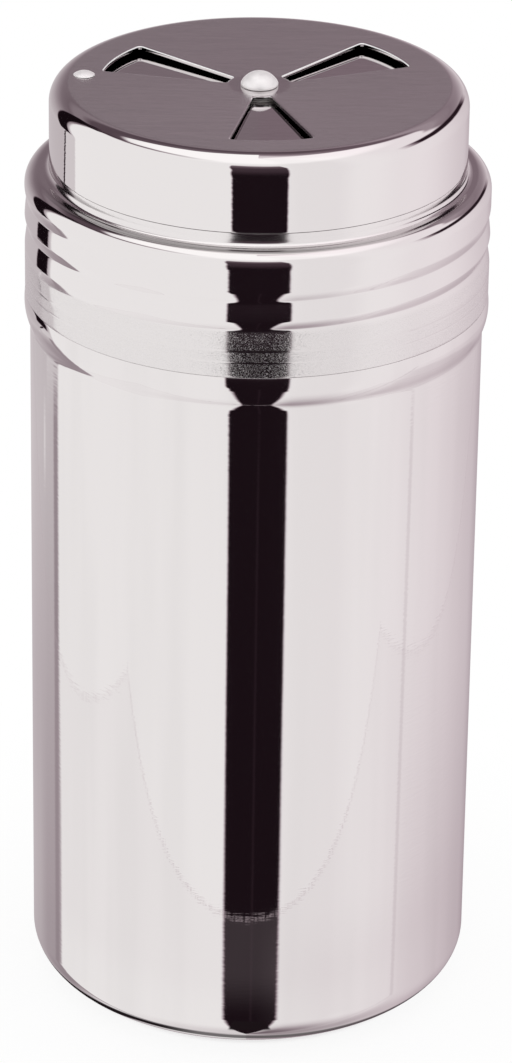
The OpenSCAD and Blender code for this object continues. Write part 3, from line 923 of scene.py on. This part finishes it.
def paper_marks(tree, x, y, reach):
    """Share of the veil that reflections show over the floor: the ragged edge of the sheet of
    paper that the shaker stands on, the paper itself, and a soft shadow on its right. A place
    lies on the paper where its distance past the nearest edge is negative."""
    past = tree.math("MAXIMUM", tree.math("MAXIMUM", -0.129 - x, x - 0.148), -0.074 - y)
    ragged = tree.noise(tree.node("ShaderNodeCombineXYZ", {}, {0: x, 1: y}), 800.0, 1.0)
    line = tree.fall(abs(past), 0.0003, 0.0009) * tree.rise(ragged, 0.35, 0.6) * 0.42
    paper = tree.fall(past, -0.0004, 0.0) * 0.065 * tree.rise(reach, 0.044, 0.058)
    shadow = tree.fall(reach, 0.05, 0.08) * tree.rise(x, 0.0, 0.03) * 0.12
    return paper + line + shadow


def painted_contact_shadow(tree, x, y, reach):
    """Mask of the painted contact shadow that reflections see: a dark line round the front of the
    base, and a dark patch in front of it."""
    ring = reach + 0.001 * tree.rise(x, -0.012, 0.015)
    inner = 0.0295 - 0.002 * tree.fall(x, -0.022, -0.016)
    line = tree.rise(ring - inner, -0.0003, 0.0003) * tree.fall(ring, 0.0310, 0.0320)
    line = line * (1 - 0.2 * tree.rise(x, -0.014, -0.006)) * tree.fall(y, 0.0, 0.01)
    patch = tree.fall(abs(x - 0.0006), 0.0034, 0.0040) * tree.band(y, -0.042, -0.0338, 0.0008)
    return tree.math("MAXIMUM", line, patch)


class SHAKER_OT_stage(bpy.types.Operator):
    """Camera, pale floor and studio light"""

    bl_idname = "shaker.stage"
    bl_label = "Stage"

    def execute(self, context):
        scene, st = context.scene, context.scene.shaker_stage
        scene.view_settings.view_transform = "Standard"
        self.camera(scene, st)
        self.floor(scene)
        self.world(scene, st)
        return {"FINISHED"}

    def camera(self, scene, st):
        """Looks along +Y, to the right by the yaw and down by the pitch, and turned by the roll."""
        data = bpy.data.cameras.new("camera")
        data.lens, data.sensor_width = st.focal, 36.0
        data.clip_start, data.clip_end = 0.01, 50.0
        made = bpy.data.objects.new("camera", data)
        scene.collection.objects.link(made)
        made.location = (0.0, -st.distance, st.height)
        turn = (Matrix.Rotation(-st.yaw, 3, "Z") @ Matrix.Rotation(math.pi / 2 - st.pitch, 3, "X")
                @ Matrix.Rotation(st.roll, 3, "Z"))
        made.rotation_euler = turn.to_euler()
        scene.camera = made

    def floor(self, scene):
        """A disc in the plane z = 0, whose rings grow with the square of their number. Near the
        shaker it is a pale matte floor with its shadow, and farther out it turns into the white
        background. Reflections see the paper and a painted contact shadow in its place."""
        rings, spokes, radius = 9, 64, 3.0
        r = np.linspace(0, 1, rings)[:, None] ** 2 * radius
        angle = np.radians(np.arange(spokes) * 360 / spokes)[None, :]
        grid = np.stack([r * np.cos(angle), r * np.sin(angle), 0 * r * angle], axis=-1)
        mesh = bpy.data.meshes.new("floor")
        mesh.from_pydata(grid.reshape(-1, 3), [], grid_faces(rings, spokes)[:, ::-1])
        made = bpy.data.objects.new("floor", mesh)
        scene.collection.objects.link(made)
        material = bpy.data.materials.new("floor")
        tree = Tree(material)
        x, y, _ = tree.parts(tree.node("ShaderNodeTexCoord", out=3))
        reach = (x * x + y * y) ** 0.5
        matte = tree.node("ShaderNodeBsdfDiffuse", {}, {"Color": (0.97, 0.965, 0.967)})
        white = tree.node("ShaderNodeEmission", {}, {"Color": (1, 1, 1), "Strength": 1.0})
        veil = tree.node("ShaderNodeEmission", {}, {"Color": (0.60, 0.50, 0.54), "Strength": 1.0})
        # Painted contact shadow: the near-black colour that reflections see round the base.
        dark = tree.node("ShaderNodeEmission", {}, {"Color": (0.014, 0.009, 0.011), "Strength": 1.0})
        clear = tree.node("ShaderNodeBsdfTransparent")
        far = 0.5 + 0.4 * tree.rise(reach, 0.0262, 0.0285) + 0.1 * tree.rise(reach, 0.032, 0.09)
        glossy = Wire(tree, tree.node("ShaderNodeLightPath").socket.node.outputs["Is Glossy Ray"])
        below = tree.node("ShaderNodeNewGeometry", out="Backfacing")

        def layers(share, under, over):
            return tree.node("ShaderNodeMixShader", {}, {0: share, 1: under, 2: over})

        shown = layers(far, matte, white)
        mirrored = layers(paper_marks(tree, x, y, reach), clear, veil)
        mirrored = layers(painted_contact_shadow(tree, x, y, reach), mirrored, dark)
        seen = layers(below, layers(glossy, shown, mirrored), clear)
        tree.node("ShaderNodeOutputMaterial", {}, {"Surface": seen})
        mesh.materials.append(material)

    def world(self, scene, st):
        """Reflections see the studio by its direction, the camera sees white, and all other rays
        see the plain room light."""
        world = bpy.data.worlds.new("studio")
        scene.world = world
        tree = Tree(world)
        direction = tree.node("ShaderNodeTexCoord", out=0)
        value, rosy = studio(tree, direction)
        path = tree.node("ShaderNodeLightPath").socket.node.outputs
        glossy = Wire(tree, path["Is Glossy Ray"])
        camera = Wire(tree, path["Is Camera Ray"])
        plain = tree.mix(camera, (st.room, st.room, st.room), (1.0, 1.0, 1.0))
        white = tree.mix(rosy, (1.0, 0.995, 0.985), (1.0, 0.945, 0.96))
        tinted = tree.mix(value ** 0.2, (1.0, 0.2, 0.6), white)
        colour = tree.mix(glossy, plain, tinted)
        strength = value * glossy + (1 - glossy)
        shade = tree.node("ShaderNodeBackground", {}, {"Color": colour, "Strength": strength})
        tree.node("ShaderNodeOutputWorld", {}, {"Surface": shade})


class SHAKER_PT_panel(bpy.types.Panel):
    """Lists the shaker's operators and settings"""

    bl_idname = "SHAKER_PT_panel"
    bl_label = "Seasoning Shaker"
    bl_space_type = "VIEW_3D"
    bl_region_type = "UI"
    bl_category = "Shaker"

    def draw(self, context):
        for group in (context.scene.shaker_sizes, context.scene.shaker_finish,
                      context.scene.shaker_stage):
            box = self.layout.box()
            for key in group.__annotations__:
                box.prop(group, key)
        for operator in OPERATORS:
            self.layout.operator(operator.bl_idname)


OPERATORS = (SHAKER_OT_canister, SHAKER_OT_lid, SHAKER_OT_dial, SHAKER_OT_fixings,
             SHAKER_OT_inner_parts, SHAKER_OT_stage)
GROUPS = {"shaker_sizes": ShakerSizes, "shaker_finish": ShakerFinish, "shaker_stage": ShakerStage}


def register():
    for cls in (*GROUPS.values(), *OPERATORS, SHAKER_PT_panel):
        bpy.utils.register_class(cls)
    for name, group in GROUPS.items():
        setattr(bpy.types.Scene, name, PointerProperty(type=group))


def unregister():
    for name in GROUPS:
        delattr(bpy.types.Scene, name)
    for cls in (SHAKER_PT_panel, *reversed(OPERATORS), *reversed(GROUPS.values())):
        bpy.utils.unregister_class(cls)


def main():
    register()
    bpy.ops.shaker.canister()
    bpy.ops.shaker.lid()
    bpy.ops.shaker.dial()
    bpy.ops.shaker.fixings()
    bpy.ops.shaker.inner_parts()
    bpy.ops.shaker.stage()


if __name__ == "__main__":
    main()
